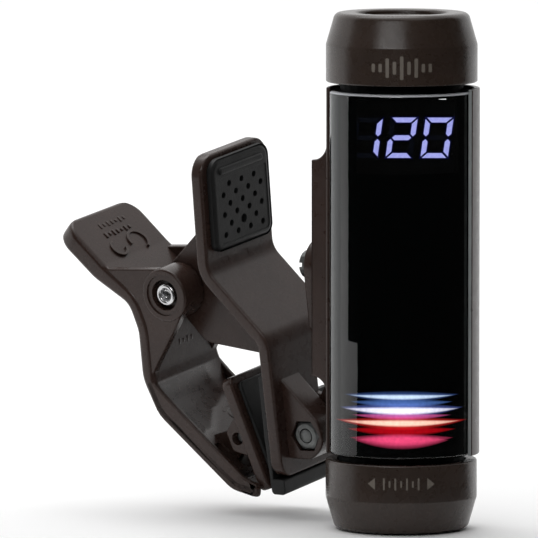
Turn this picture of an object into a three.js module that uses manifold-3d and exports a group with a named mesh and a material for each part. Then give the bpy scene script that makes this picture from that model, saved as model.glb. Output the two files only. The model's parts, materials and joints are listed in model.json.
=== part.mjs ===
// A clip-on tempo and tuning display: a round display body on a swivel and a hinged arm, carried by
// a sprung clip. Millimetres, +Z up, the display looks towards -Y.
// The body's own centre is the working origin. The finished object is moved at the end, so that its
// origin is the middle of the gripping face on the clip's fixed jaw.
import * as THREE from 'three';
import Module from 'manifold-3d';
import { mergeVertices } from 'three/addons/utils/BufferGeometryUtils.js';

const wasm = await Module();
wasm.setup();

// ---------------------------------------------------------------- driving dimensions
const DEG = Math.PI / 180;
const DOCK_TURN = 36;            // how far the dock points back from the body's left side, degrees
const CLIP_ROLL = 9.5;           // how far the clip is swivelled on the body, degrees
const CLEAR = 0.3;               // gap between pieces that turn or slide on each other
const SEAT = 0.1;                // gap under a piece that is fixed to its neighbour

// display body
const HOUSING_R = 10.85;
const HOUSING_ASIDE = 0.2;       // the back shell's outer face is centred this far to the right
const HOUSING_BORE_R = 10;
const HOUSING_HALF = 25.9;       // half the length of the housing
const HOUSING_FROM = -14;        // the back shell runs from the right side round to the left side
const HOUSING_TO = 184;
const WINDOW_R = 10.3;
const WINDOW_WALL = 1.1;
const WINDOW_FROM = 187;
const WINDOW_TO = 343;
const WINDOW_TOP = 25.5;
const DOCK_FACE = 12.25;         // distance of the dock's flat face from the body's axis
const DOCK_HALF_WIDTH = 5;
const DOCK_HALF = 15.4;          // half the length of the dock's flat face
const DOCK_FADE = 18.4;          // where the dock's end fillets run into the housing

// turning rings at both ends
const RING_R = 10.7;
const RING_BASE = 26.7;          // distance from the middle of the body to the ring's open edge
const RING_CREASE = 32;          // where the straight side starts to taper
const RING_END = 36.5;
const RING_END_R = 9.4;
const RING_MOUTH_R = 6.3;        // round opening in the end face
const RING_BORE_R = 9.2;
const RING_FLANGE = 1.6;         // thickness of the end face
const JOURNAL_R = RING_BORE_R - CLEAR;

// battery, size AAA, and its bay
const CELL_R = 5.25;
const CELL_HALF = 21.85;
const CELL_NIP_R = 1.9;
const CELL_NIP = 0.8;
const CELL_Y = 4.5;              // the cell lies behind the circuit board
const DOOR_FROM = 50;
const DOOR_TO = 112;
const DOOR_HALF = 23.4;

// swing arm between body and clip, in the clip's own directions
const ARM_FRONT = DOCK_FACE + CLEAR;
const ARM_BACK = ARM_FRONT + 1.9;
const ARM_HALF_WIDTH = 4;
const HINGE = [15.5, -23.8];     // tilt hinge: distance from the body's axis, and height
const BOLT_R = 0.95;
const HINGE_BORE_R = 1.1;
const LUG_R = 2.9;
const TONGUE_HALF = 1.2;

// clip: across is measured from the middle of its width
const CLIP_HALF = 8;
const PIVOT = [36.8, -3.9];      // pivot of the two levers
const EYELET_R = 1.25;
const EYELET_HOLE_R = 0.85;
const EYELET_RIM_R = 1.7;
const PIVOT_BORE_R = 1.4;
const HUB_R = 3.9;
const HUB_RECESS_R = 2.6;
const WEB_OUT = 3.1;             // the fixed lever's two webs stand either side of the spring
const WEB_IN = 1.6;
const LEVER_TOP = 16.7;
const PLATE_FRONT = 18.7;        // the fixed lever's lower plate
const PLATE_BACK = 20.7;
const PLATE_BOTTOM = -29.9;
const GRIP_FACE = 21.7;          // gripping face of the fixed jaw's rubber pad
const GRIP_TOP = -15.2;
const GRIP_FLAT_END = -24.2;     // below this the pad falls back a little towards its lip
const GRIP_RELIEF = 0.4;
const GRIP_BOTTOM = -32.4;
const GRIP_MIDDLE = -23.4;       // middle of the pad's height, on its flat part
const SHOE_PIN = [27.2, -24.8];
const SHOE_PIN_R = 0.8;
const SHOE_LEAN = 18.3;          // lean of the shoe when the clip is closed, degrees
const SHOE_HALF = 6.9;

// ---------------------------------------------------------------- directions
const dockOut = new THREE.Vector3(-Math.cos(DOCK_TURN * DEG), Math.sin(DOCK_TURN * DEG), 0);
const zUp = new THREE.Vector3(0, 0, 1);
const dockSide = new THREE.Vector3().crossVectors(dockOut, zUp);
const clipAcross = dockSide.clone().multiplyScalar(Math.cos(CLIP_ROLL * DEG))
  .addScaledVector(zUp, Math.sin(CLIP_ROLL * DEG));
const clipUp = new THREE.Vector3().crossVectors(clipAcross, dockOut);
const dockMatrix = new THREE.Matrix4().makeBasis(dockOut, zUp, dockSide);
const clipMatrix = new THREE.Matrix4().makeBasis(dockOut, clipUp, clipAcross);

// ---------------------------------------------------------------- solids
function toSolid(geometry) {
  const bare = geometry.clone();
  bare.deleteAttribute('normal');
  bare.deleteAttribute('uv');
  const merged = mergeVertices(bare, 1e-5);
  const count = merged.attributes.position.count;
  const index = merged.index ? merged.index.array : Array.from({ length: count }, (_, i) => i);
  const mesh = new wasm.Mesh({
    numProp: 3,
    vertProperties: Float32Array.from(merged.attributes.position.array),
    triVerts: Uint32Array.from(index),
  });
  return new wasm.Manifold(mesh);
}

function toGeometry(solid) {
  const mesh = solid.getMesh();
  const geometry = new THREE.BufferGeometry();
  geometry.setAttribute('position', new THREE.BufferAttribute(Float32Array.from(mesh.vertProperties), 3));
  geometry.setIndex(Array.from(mesh.triVerts));
  geometry.computeVertexNormals();
  return geometry;
}

function join(first, ...others) {
  return others.reduce((whole, other) => whole.add(other), first);
}

function cut(first, ...others) {
  return others.reduce((whole, other) => whole.subtract(other), first);
}

// Outline from corners [x, y] or [x, y, radius]; a radius rounds that corner with an arc.
function outline(corners, step = 20 * DEG) {
  const points = [];
  corners.forEach(([x, y, radius = 0], i) => {
    const corner = new THREE.Vector2(x, y);
    if (radius === 0) {
      points.push(corner);
      return;
    }
    const before = corners[(i + corners.length - 1) % corners.length];
    const after = corners[(i + 1) % corners.length];
    const toBefore = new THREE.Vector2(before[0] - x, before[1] - y).normalize();
    const toAfter = new THREE.Vector2(after[0] - x, after[1] - y).normalize();
    const halfAngle = Math.acos(THREE.MathUtils.clamp(toBefore.dot(toAfter), -1, 1)) / 2;
    const middle = toBefore.clone().add(toAfter).normalize();
    const centre = corner.clone().addScaledVector(middle, radius / Math.sin(halfAngle));
    const reach = radius / Math.tan(halfAngle);
    const start = corner.clone().addScaledVector(toBefore, reach).sub(centre).angle();
    let sweep = corner.clone().addScaledVector(toAfter, reach).sub(centre).angle() - start;
    sweep = Math.atan2(Math.sin(sweep), Math.cos(sweep));
    const count = Math.max(2, Math.ceil(Math.abs(sweep) / step));
    for (let k = 0; k <= count; k += 1) {
      const angle = start + (sweep * k) / count;
      points.push(new THREE.Vector2(centre.x + radius * Math.cos(angle), centre.y + radius * Math.sin(angle)));
    }
  });
  return new THREE.Shape(points);
}

function prism(shape, from, to, curveSegments = 12) {
  const geometry = new THREE.ExtrudeGeometry(shape, { depth: to - from, bevelEnabled: false, curveSegments });
  return toSolid(geometry.translate(0, 0, from));
}

// A bar along local X, from an outline drawn in local (-Z, Y): across, counted towards -Z, and height.
function prismAlongX(shape, from, to) {
  const geometry = new THREE.ExtrudeGeometry(shape, { depth: to - from, bevelEnabled: false });
  geometry.rotateY(90 * DEG).translate(from, 0, 0);
  return toSolid(geometry);
}

function rod([x, y], radius, from, to, sides = 24) {
  const geometry = new THREE.CylinderGeometry(radius, radius, to - from, sides);
  geometry.rotateX(90 * DEG).translate(x, y, (from + to) / 2);
  return toSolid(geometry);
}

function rodAlongX([y, z], radius, from, to, sides = 24) {
  const geometry = new THREE.CylinderGeometry(radius, radius, to - from, sides);
  geometry.rotateZ(90 * DEG).translate((from + to) / 2, y, z);
  return toSolid(geometry);
}

function box(xs, ys, zs) {
  const geometry = new THREE.BoxGeometry(xs[1] - xs[0], ys[1] - ys[0], zs[1] - zs[0]);
  geometry.translate((xs[0] + xs[1]) / 2, (ys[0] + ys[1]) / 2, (zs[0] + zs[1]) / 2);
  return toSolid(geometry);
}

function turned(profile, sides = 40) {
  const points = profile.map(([radius, height]) => new THREE.Vector2(radius, height));
  const geometry = new THREE.LatheGeometry(points, sides).rotateX(90 * DEG);
  return toSolid(geometry);
}

function placed(solid, matrix) {
  return solid.transform(matrix.elements);
}

function sector(inner, outer, fromDegrees, toDegrees, low, high, segments = 24) {
  const shape = new THREE.Shape();
  shape.absarc(0, 0, outer, fromDegrees * DEG, toDegrees * DEG, false);
  shape.absarc(0, 0, inner, toDegrees * DEG, fromDegrees * DEG, true);
  return prism(shape, low, high, segments);
}

// ---------------------------------------------------------------- materials
const finish = {
  brownPlastic: { color: 0x3c322f, roughness: 0.45, metalness: 0 },
  blackPlastic: { color: 0x17171a, roughness: 0.5, metalness: 0 },
  window: { color: 0x0b0c10, roughness: 0.08, metalness: 0 },
  display: { color: 0x10131c, roughness: 0.3, metalness: 0 },
  lights: { color: 0xe83a55, roughness: 0.3, metalness: 0 },
  rubber: { color: 0x212124, roughness: 0.75, metalness: 0 },
  steel: { color: 0xc9ccd0, roughness: 0.25, metalness: 1 },
  blackSteel: { color: 0x4d5052, roughness: 0.4, metalness: 1 },
  board: { color: 0x14502f, roughness: 0.5, metalness: 0 },
  cell: { color: 0xb08a3c, roughness: 0.35, metalness: 0.6 },
};

function piece(name, look, solid) {
  const mesh = new THREE.Mesh(toGeometry(solid), new THREE.MeshStandardMaterial(finish[look]));
  mesh.name = name;
  return mesh;
}

// ---------------------------------------------------------------- display body
// A piece of the back shell: its bore is centred on the tube, its outer face a little to the right.
function shellSector(fromDegrees, toDegrees, half, segments) {
  const shape = new THREE.Shape();
  shape.absarc(HOUSING_ASIDE, 0, HOUSING_R, fromDegrees * DEG, toDegrees * DEG, false);
  shape.absarc(0, 0, HOUSING_BORE_R, toDegrees * DEG, fromDegrees * DEG, true);
  return prism(shape, -half, half, segments);
}

function rearHousing() {
  const shell = shellSector(HOUSING_FROM, HOUSING_TO, HOUSING_HALF, 28);
  const dockOutline = outline([
    [8, -DOCK_FADE], [10.9, -DOCK_FADE, 0], [DOCK_FACE - 0.75, -DOCK_HALF - 1.1], [DOCK_FACE, -DOCK_HALF, 0.3],
    [DOCK_FACE, DOCK_HALF, 0.3], [DOCK_FACE - 0.75, DOCK_HALF + 1.1], [10.9, DOCK_FADE, 0], [8, DOCK_FADE],
  ]);
  const dock = placed(prism(dockOutline, -DOCK_HALF_WIDTH, DOCK_HALF_WIDTH), dockMatrix);
  const hollow = rod([0, 0], HOUSING_BORE_R, -HOUSING_HALF - 1, HOUSING_HALF + 1, 56);
  const screwHole = placed(rodAlongX([0, 0], 1.2, 8, DOCK_FACE + 1), dockMatrix);
  const bay = sector(HOUSING_BORE_R - 1, HOUSING_R + 1.2, DOOR_FROM - 1.5, DOOR_TO + 1.5,
    -DOOR_HALF - CLEAR, DOOR_HALF + CLEAR, 10);
  return cut(join(shell, dock.subtract(hollow)), bay, screwHole);
}

function batteryDoor() {
  const leaf = shellSector(DOOR_FROM, DOOR_TO, DOOR_HALF, 10);
  const middle = ((DOOR_FROM + DOOR_TO) / 2) * DEG;
  const edge = [HOUSING_ASIDE + HOUSING_R * Math.cos(middle), HOUSING_R * Math.sin(middle)];
  const nailNotch = rod(edge, 0.7, -5, 5, 12);
  const notchPlace = new THREE.Matrix4().makeTranslation(0, 0, DOOR_HALF - 7);
  return leaf.subtract(placed(nailNotch, notchPlace));
}

function displayWindow() {
  return sector(WINDOW_R - WINDOW_WALL, WINDOW_R, WINDOW_FROM, WINDOW_TO, -HOUSING_HALF, WINDOW_TOP, 28);
}

// A block behind the window: flat at the back, round at the front.
function frontBlock(low, high) {
  const radius = WINDOW_R - WINDOW_WALL - CLEAR;
  const back = -2.8;
  const halfAngle = Math.acos(-back / radius);
  const shape = new THREE.Shape();
  shape.absarc(0, 0, radius, -Math.PI / 2 - halfAngle, -Math.PI / 2 + halfAngle, false);
  return prism(shape, low, high, 16);
}

function chassis() {
  const ends = [-1, 1].map((side) => {
    const bulkhead = turned([[0, 25], [JOURNAL_R - 0.2, 25], [JOURNAL_R - 0.2, 26.2], [JOURNAL_R, 26.2],
      [JOURNAL_R, 34.4], [7, 34.4], [7, 28], [2.8, 28], [2.8, 27], [0, 27]], 32);
    return side > 0 ? bulkhead : bulkhead.rotate([180, 0, 0]);
  });
  const rails = [-1, 1].map((side) => {
    const xs = side > 0 ? [7.4, 8.5] : [-8.5, -7.4];
    return box(xs, [-0.8, 0.9], [-25.5, 25.5]);
  });
  return join(...ends, ...rails);
}

function ring(side) {
  const solid = turned([
    [RING_BORE_R, RING_BASE], [RING_R - 0.2, RING_BASE], [RING_R, RING_BASE + 0.2], [RING_R, RING_CREASE],
    [RING_END_R + 0.25, RING_END - 0.9], [RING_END_R, RING_END - 0.3], [RING_END_R - 0.4, RING_END],
    [RING_MOUTH_R + 0.3, RING_END], [RING_MOUTH_R, RING_END - 0.3], [RING_MOUTH_R, RING_END - RING_FLANGE],
    [RING_BORE_R, RING_END - RING_FLANGE], [RING_BORE_R, RING_BASE],
  ], 44);
  return side > 0 ? solid : solid.rotate([180, 0, 0]);
}

function endPlug(side) {
  const lip = RING_END - RING_FLANGE - CLEAR;
  const solid = turned([[0, 27.3], [2.5, 27.3], [2.5, 33.9], [6.7, 33.9], [6.7, lip], [RING_MOUTH_R - CLEAR, lip],
    [RING_MOUTH_R - CLEAR, 35.6], [5.4, 35.9], [4.9, 35.5], [0, 35.5]], 32);
  return side > 0 ? solid : solid.rotate([180, 0, 0]);
}

function returnSpring(side) {
  const coil = turned([[3, 28.6], [3.8, 28.6], [3.8, 32.4], [3, 32.4], [3, 28.6]], 24);
  return side > 0 ? coil : coil.rotate([180, 0, 0]);
}

function ringSwitch(side) {
  const body = box([4.3, 6.2], [-1.5, 1.5], [28.3, 31.2]);
  return side > 0 ? body : body.rotate([180, 0, 0]);
}

function cell() {
  return placed(turned([[0, -CELL_HALF], [4.6, -CELL_HALF], [CELL_R, -CELL_HALF + 0.4],
    [CELL_R, CELL_HALF - 0.4], [4.9, CELL_HALF], [CELL_NIP_R, CELL_HALF], [CELL_NIP_R, CELL_HALF + CELL_NIP],
    [0, CELL_HALF + CELL_NIP]], 28), new THREE.Matrix4().makeTranslation(0, CELL_Y, 0));
}

function contactSpring() {
  const profile = [[1.6, -23.7], [2.9, -23.7], [2.9, -23.1], [2.2, CELL_HALF * -1 - 0.2],
    [1.5, CELL_HALF * -1 - 0.2], [1.6, -23.7]];
  return placed(turned(profile, 20), new THREE.Matrix4().makeTranslation(0, CELL_Y, 0));
}

function contactPlate() {
  return box([-2.6, 2.6], [CELL_Y - 3, CELL_Y + 3], [23, 23.5]);
}

function circuitBoard() {
  return box([-7, 7], [-2.4, -1.2], [-23.6, 23.6]);
}

function piezoDisc() {
  return rodAlongX([CELL_Y - 0.3, 0], 2.6, 5.95, 6.45, 24);
}

// Pan-head screw on the swivel axis, turned in from the arm's side.
function swivelScrew() {
  const shank = rodAlongX([0, 0], 0.9, 10.5, ARM_BACK + 1.2, 16);
  const head = rodAlongX([0, 0], 2, ARM_BACK + 1.05, ARM_BACK + 2.1, 20);
  const slot = box([ARM_BACK + 1.6, ARM_BACK + 3], [-0.3, 0.3], [-2.5, 2.5]);
  return join(shank, head).subtract(slot);
}

function swivelWasher() {
  const from = ARM_BACK + CLEAR;
  return rodAlongX([0, 0], 2.6, from, from + 0.5, 24).subtract(rodAlongX([0, 0], 1.15, from - 1, from + 2, 16));
}

// ---------------------------------------------------------------- swing arm
function swingArm() {
  const neck = TONGUE_HALF;
  const face = outline([
    [ARM_HALF_WIDTH, ARM_HALF_WIDTH, ARM_HALF_WIDTH - 0.02], [-ARM_HALF_WIDTH, ARM_HALF_WIDTH, ARM_HALF_WIDTH - 0.02],
    [-ARM_HALF_WIDTH, -8.5, 1.5], [-neck, -12.5, 1.5], [-neck, -20], [neck, -20], [neck, -12.5, 1.5],
    [ARM_HALF_WIDTH, -8.5, 1.5],
  ]);
  const plate = prismAlongX(face, ARM_FRONT, ARM_BACK);
  const side = outline([
    [ARM_FRONT, -12], [ARM_BACK, -12], [ARM_BACK, -17, 3], [HINGE[0] + LUG_R - 0.5, HINGE[1] + 1.5],
    [HINGE[0], HINGE[1] - 1], [HINGE[0] - LUG_R, HINGE[1]],
  ]);
  const tongue = join(prism(side, -neck, neck), rod(HINGE, LUG_R, -neck, neck, 28));
  const swivelHole = rodAlongX([0, 0], 1.15, ARM_FRONT - 1, ARM_BACK + 1, 20);
  return cut(join(plate, tongue), swivelHole, rod(HINGE, HINGE_BORE_R, -neck - 1, neck + 1, 20));
}

// ---------------------------------------------------------------- fixed lever of the clip
function fixedLever() {
  const strip = outline([
    [27.75, LEVER_TOP], [28.45, 0.2, 3], [PLATE_FRONT + 0.35, -9.4, 4], [PLATE_FRONT, PLATE_BOTTOM],
    [PLATE_BACK, PLATE_BOTTOM], [PLATE_BACK, -10.2, 2], [30.2, -0.9, 5], [29.6, LEVER_TOP],
  ], 15 * DEG);
  const front = outline([
    [-CLIP_HALF, PLATE_BOTTOM, 2.6], [CLIP_HALF, PLATE_BOTTOM, 2.6], [CLIP_HALF, LEVER_TOP, 3],
    [-CLIP_HALF, LEVER_TOP, 3],
  ]);
  const lever = prism(strip, -CLIP_HALF, CLIP_HALF).intersect(prismAlongX(front, 15, 32));
  const webSide = outline([
    [29.5, 8], [PIVOT[0] + 2.7, PIVOT[1] + 2.8], [PIVOT[0] + 0.9, PIVOT[1] - 3.75], [PIVOT[0] - 3, -11.8, 3],
    [20, -13.3], [20, -10], [27.5, -3],
  ]);
  const webs = [[-WEB_OUT, -WEB_IN], [WEB_IN, WEB_OUT]].map(([from, to]) => (
    join(prism(webSide, from, to), rod(PIVOT, HUB_R, from, to, 28))));
  const nearEar = prism(outline([
    [PLATE_FRONT + 0.5, -15.3], [HINGE[0] - 2.5, HINGE[1] + 2.2, 2], [HINGE[0] - 3.3, HINGE[1] - 1.4, 3],
    [HINGE[0] - 0.6, HINGE[1] - 3.5, 2], [PLATE_FRONT + 0.5, -27.3],
  ]), -5.9, -TONGUE_HALF - CLEAR);
  const farEar = prism(outline([
    [PLATE_FRONT + 0.5, -19.3], [HINGE[0] - 1.6, HINGE[1] + 2.95, 2], [HINGE[0] - 3.3, HINGE[1] - 1.4, 3],
    [HINGE[0] - 0.6, HINGE[1] - 3.5, 2], [PLATE_FRONT + 0.5, -27.3],
  ]), TONGUE_HALF + CLEAR, 4.7);
  const notch = prismAlongX(outline([
    [-2.6, -14.2], [-2.6, -19.6], [-4.9, -21.6], [-CLIP_HALF - 1, -21.6], [-CLIP_HALF - 1, -14.2],
  ]), 16, 22);
  const nutPocket = toSolid(new THREE.CylinderGeometry(2.5, 2.5, 2.1, 6).rotateX(90 * DEG)
    .rotateZ(28 * DEG).translate(HINGE[0], HINGE[1], -5.05));
  const boltHole = rod(HINGE, HINGE_BORE_R, -8, 8, 20);
  const pivotHole = rod(PIVOT, PIVOT_BORE_R, -8, 8, 24);
  return cut(join(lever.subtract(notch), ...webs, nearEar, farEar), nutPocket, boltHole, pivotHole);
}

function gripPad() {
  const face = outline([[-6.9, 2.5, 1.6], [6.9, 2.5, 1.6], [6.9, 16, 2], [-6.9, 16, 2]]);
  const lean = Math.atan2(28.45 - 27.75, LEVER_TOP - 0.2);
  const pad = prismAlongX(face, -1.1, -SEAT);
  const place = new THREE.Matrix4().makeTranslation(28.45, 0.2, 0)
    .multiply(new THREE.Matrix4().makeRotationZ(lean))
    .multiply(new THREE.Matrix4().makeTranslation(0, -0.2, 0));
  return placed(pad, place);
}

function fixedJawPad() {
  const lipFront = PLATE_FRONT + 0.2;
  const side = outline([
    [PLATE_BACK + SEAT, GRIP_TOP + 0.6], [GRIP_FACE, GRIP_TOP], [GRIP_FACE, GRIP_FLAT_END],
    [GRIP_FACE - GRIP_RELIEF, GRIP_BOTTOM, 0.6], [lipFront, GRIP_BOTTOM, 0.5],
    [lipFront, PLATE_BOTTOM - 0.2], [PLATE_BACK + SEAT, PLATE_BOTTOM - 0.2],
  ]);
  return prism(side, -CLIP_HALF + 0.5, CLIP_HALF - 0.5);
}

function hexNut() {
  const nut = toSolid(new THREE.CylinderGeometry(2.25, 2.25, 1.5, 6).rotateX(90 * DEG)
    .rotateZ(28 * DEG).translate(HINGE[0], HINGE[1], -5));
  return nut.subtract(rod(HINGE, BOLT_R + 0.15, -7, -3, 20));
}

function hingeBolt() {
  const shank = rod(HINGE, BOLT_R, -5.9, 5.1, 20);
  const head = rod(HINGE, 1.9, 4.95, 6.1, 20);
  const slot = box([HINGE[0] - 2.5, HINGE[0] + 2.5], [HINGE[1] - 0.3, HINGE[1] + 0.3], [5.5, 7]);
  return join(shank, head).subtract(slot);
}

// Hollow rivet on the clip's pivot, with a rolled rim at each end.
function pivotEyelet() {
  const reach = CLIP_HALF - 0.35;
  const barrel = rod(PIVOT, EYELET_R, -reach, reach, 24);
  const rims = [[-reach, -reach + 0.45], [reach - 0.45, reach]].map(([from, to]) => rod(PIVOT, EYELET_RIM_R, from, to, 28));
  return cut(join(barrel, ...rims), rod(PIVOT, EYELET_HOLE_R, -9, 9, 20));
}

function torsionSpring() {
  const inner = EYELET_R + 0.25;
  const coil = rod(PIVOT, inner + 0.8, -1.3, 1.3, 28);
  const legToFixed = prism(outline([
    [PIVOT[0] - 1.4, PIVOT[1] + 1.5], [PIVOT[0] - 0.9, PIVOT[1] + 1.9], [31.3, 6.2], [30.8, 5.8],
  ]), 0.6, 1.3);
  const legToMoving = prism(outline([
    [PIVOT[0] + 1, PIVOT[1] + 1.1], [PIVOT[0] + 1.5, PIVOT[1] + 0.7], [43, -2.5], [42.9, -2],
  ]), -1.3, -0.6);
  return cut(join(coil, legToFixed, legToMoving), rod(PIVOT, inner, -2, 2, 24));
}

// ---------------------------------------------------------------- moving lever of the clip
function movingLever() {
  const strip = outline([
    [55.9, 4.2, 0.8], [50.5, -1.3, 9], [44, -5, 5], [42.4, -9.2, 6], [42.35, -16.5, 5], [40.2, -21.6, 5],
    [28.2, -32, 4], [23.2, -33.2, 0.9], [23.6, -31.0, 0.2], [26.3, -30.5, 1.5], [38.6, -20.7, 4],
    [40.5, -16.2, 4], [40.2, -9.5, 6], [41.4, -4.8, 5], [46.2, -0.7, 2], [53.4, 5.6, 0.6],
  ], 15 * DEG);
  const slant = 40.3 * DEG;
  const face = outline([[-CLIP_HALF, -40], [CLIP_HALF, -40], [CLIP_HALF, 20, 3], [-CLIP_HALF, 20, 3]]);
  const faceLength = 20 - 10.2;
  const facePlace = new THREE.Matrix4().makeTranslation(46.4, -0.5, 0)
    .multiply(new THREE.Matrix4().makeRotationZ(slant - 90 * DEG))
    .multiply(new THREE.Matrix4().makeTranslation(0, -faceLength, 0));
  const roundedFace = placed(prismAlongX(face, -30, 60), facePlace);
  const lowerHalf = box([15, 47], [-40, -2], [-CLIP_HALF - 1, CLIP_HALF + 1]);
  const sheet = prism(strip, -CLIP_HALF, CLIP_HALF).intersect(join(roundedFace, lowerHalf));

  const wallSide = outline([
    [47, -0.6], [PIVOT[0] + 1, -0.1], [PIVOT[0], PIVOT[1]], [PIVOT[0] - 3.2, PIVOT[1] - 1.9],
    [35.4, -8.6, 6], [39.7, -14.6, 20], [41.3, -17.3], [42, -16], [41.6, -8], [44, -4.4],
  ]);
  const rimSide = outline([
    [41.6, -17.2], [40.2, -21.6, 5], [28.2, -32, 4], [23.2, -33.2, 0.9], [23.55, -31.0, 0.2], [25.9, -30.1, 1],
    [38.5, -18.9, 0.5], [40.8, -16.6],
  ]);
  const sides = [[-CLIP_HALF, -6.3, -CLIP_HALF, -7.2, -CLIP_HALF, -WEB_OUT - CLEAR],
    [6.3, CLIP_HALF, 7.2, CLIP_HALF, WEB_OUT + CLEAR, CLIP_HALF]].map(([w0, w1, r0, r1, h0, h1]) => (
    join(prism(wallSide, w0, w1), prism(rimSide, r0, r1), rod(PIVOT, HUB_R, h0, h1, 32))));

  const lugSide = outline([
    [SHOE_PIN[0] - 1.1, SHOE_PIN[1] + 1.1], [SHOE_PIN[0] + 1.3, SHOE_PIN[1] + 1], [33.2, -25.2],
    [29.4, -28.6], [SHOE_PIN[0] - 0.9, SHOE_PIN[1] - 1.2],
  ]);
  const lugs = [[-4.6, -3], [3, 4.6]].map(([from, to]) => (
    join(prism(lugSide, from, to), rod(SHOE_PIN, 1.6, from, to, 20))));
  const recesses = [[-9, -7.1], [7.1, 9]].map(([from, to]) => rod(PIVOT, HUB_RECESS_R, from, to, 28));
  const slots = [[-6.7, -4.9], [4.9, 6.7]].map(([from, to]) => prism(outline([
    [30.5, -25], [32.6, -26.6], [28.6, -29.9], [26.8, -28.4],
  ]), from, to));
  const pivotHole = rod(PIVOT, PIVOT_BORE_R, -9, 9, 24);
  const pinHole = rod(SHOE_PIN, SHOE_PIN_R + 0.05, -9, 9, 20);
  const shoeRoom = prism(outline([[20, -29.6], [24.6, -29.6], [27.2, -31.2], [27, -34], [20, -34]]),
    -SHOE_HALF - CLEAR, SHOE_HALF + CLEAR);
  return cut(join(sheet, ...sides, ...lugs), ...recesses, ...slots, pivotHole, pinHole, shoeRoom);
}

// ---------------------------------------------------------------- swivelling jaw shoe
const shoeMatrix = new THREE.Matrix4().makeTranslation(SHOE_PIN[0], SHOE_PIN[1], 0)
  .multiply(new THREE.Matrix4().makeRotationZ(-SHOE_LEAN * DEG));
const SHOE_BACK = -0.75;         // distances from the pin, square to the shoe
const SHOE_FRONT = SHOE_BACK - 1.9;
const SHOE_TOP = 8.6;
const SHOE_BOTTOM = -8.3;

function jawShoe() {
  const side = outline([[SHOE_FRONT, SHOE_TOP, 0.5], [SHOE_FRONT, SHOE_BOTTOM, 0.3], [SHOE_BACK, SHOE_BOTTOM, 0.6],
    [SHOE_BACK, SHOE_TOP, 0.8]]);
  const face = outline([[-SHOE_HALF, SHOE_BOTTOM, 1], [SHOE_HALF, SHOE_BOTTOM, 1], [SHOE_HALF, SHOE_TOP, 1],
    [-SHOE_HALF, SHOE_TOP, 1]]);
  const plate = prism(side, -SHOE_HALF, SHOE_HALF).intersect(prismAlongX(face, -6, 4));
  const earSide = outline([[SHOE_BACK - 0.3, 3.2], [1.6, 1.5, 0.8], [1.6, -1.5, 0.8], [SHOE_BACK - 0.3, -3]]);
  const ears = [[-6.6, -5], [5, 6.6]].map(([from, to]) => prism(earSide, from, to));
  const pinHole = rod([0, 0], SHOE_PIN_R + 0.15, -9, 9, 20);
  const lugRoom = [[-4.9, -2.7], [2.7, 4.9]].map(([from, to]) => rod([0, 0], 1.9, from, to, 24));
  return placed(cut(join(plate, ...ears), pinHole, ...lugRoom), shoeMatrix);
}

function shoePad() {
  const face = outline([[-5.9, SHOE_BOTTOM + 2, 0.8], [5.9, SHOE_BOTTOM + 2, 0.8], [5.9, SHOE_TOP - 1, 0.8],
    [-5.9, SHOE_TOP - 1, 0.8]]);
  return placed(prismAlongX(face, SHOE_FRONT - 0.8, SHOE_FRONT - SEAT), shoeMatrix);
}

function shoePin() {
  return rod(SHOE_PIN, SHOE_PIN_R, -6.5, 6.5, 20);
}

// ---------------------------------------------------------------- assembly
const displayBody = new THREE.Group();
displayBody.add(piece('rear_housing', 'brownPlastic', rearHousing()));
displayBody.add(piece('battery_door', 'brownPlastic', batteryDoor()));
displayBody.add(piece('display_window', 'window', displayWindow()));
displayBody.add(piece('digit_display', 'display', frontBlock(8, 24.6)));
displayBody.add(piece('front_baffle', 'blackPlastic', frontBlock(-13.7, 7.7)));
displayBody.add(piece('light_bar_display', 'lights', frontBlock(-24.7, -14)));
displayBody.add(piece('chassis', 'blackPlastic', chassis()));
displayBody.add(piece('circuit_board', 'board', circuitBoard()));
displayBody.add(piece('battery_cell', 'cell', cell()));
displayBody.add(piece('contact_spring', 'steel', contactSpring()));
displayBody.add(piece('contact_plate', 'steel', contactPlate()));
displayBody.add(piece('piezo_disc', 'cell', piezoDisc()));
[['top', 1], ['bottom', -1]].forEach(([end, side]) => {
  displayBody.add(piece(`${end}_ring`, 'brownPlastic', ring(side)));
  displayBody.add(piece(`${end}_plug`, 'brownPlastic', endPlug(side)));
  displayBody.add(piece(`${end}_return_spring`, 'steel', returnSpring(side)));
  displayBody.add(piece(`${end}_switch`, 'blackPlastic', ringSwitch(side)));
});

const swivel = new THREE.Group();
swivel.applyMatrix4(dockMatrix);
swivel.add(piece('swivel_screw', 'blackSteel', swivelScrew()));

const clip = new THREE.Group();
clip.applyMatrix4(clipMatrix);
clip.add(piece('swing_arm', 'brownPlastic', swingArm()));
clip.add(piece('swivel_washer', 'blackSteel', swivelWasher()));
clip.add(piece('fixed_lever', 'brownPlastic', fixedLever()));
clip.add(piece('grip_pad', 'rubber', gripPad()));
clip.add(piece('fixed_jaw_pad', 'rubber', fixedJawPad()));
clip.add(piece('hinge_nut', 'blackSteel', hexNut()));
clip.add(piece('hinge_bolt', 'blackSteel', hingeBolt()));
clip.add(piece('pivot_eyelet', 'steel', pivotEyelet()));
clip.add(piece('torsion_spring', 'steel', torsionSpring()));
clip.add(piece('moving_lever', 'brownPlastic', movingLever()));
clip.add(piece('jaw_shoe', 'brownPlastic', jawShoe()));
clip.add(piece('shoe_pad', 'rubber', shoePad()));
clip.add(piece('shoe_pin', 'blackSteel', shoePin()));

const tuner = new THREE.Group();
tuner.add(displayBody, swivel, clip);
const gripPoint = new THREE.Vector3(GRIP_FACE, GRIP_MIDDLE, 0).applyMatrix4(clipMatrix);
tuner.position.copy(gripPoint).negate();
tuner.updateMatrixWorld(true);

export default tuner;
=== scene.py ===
"""Looks of a clip-on tempo display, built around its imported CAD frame.

Shapes are drawn in millimetres, in one of three frames that share the middle of the display tube:
the body's (X right, Y back, Z up), the dock's (out of the dock, up the tube, sideways) and the clip's
(out of the dock, up the clip, across the clip).
"""

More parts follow.
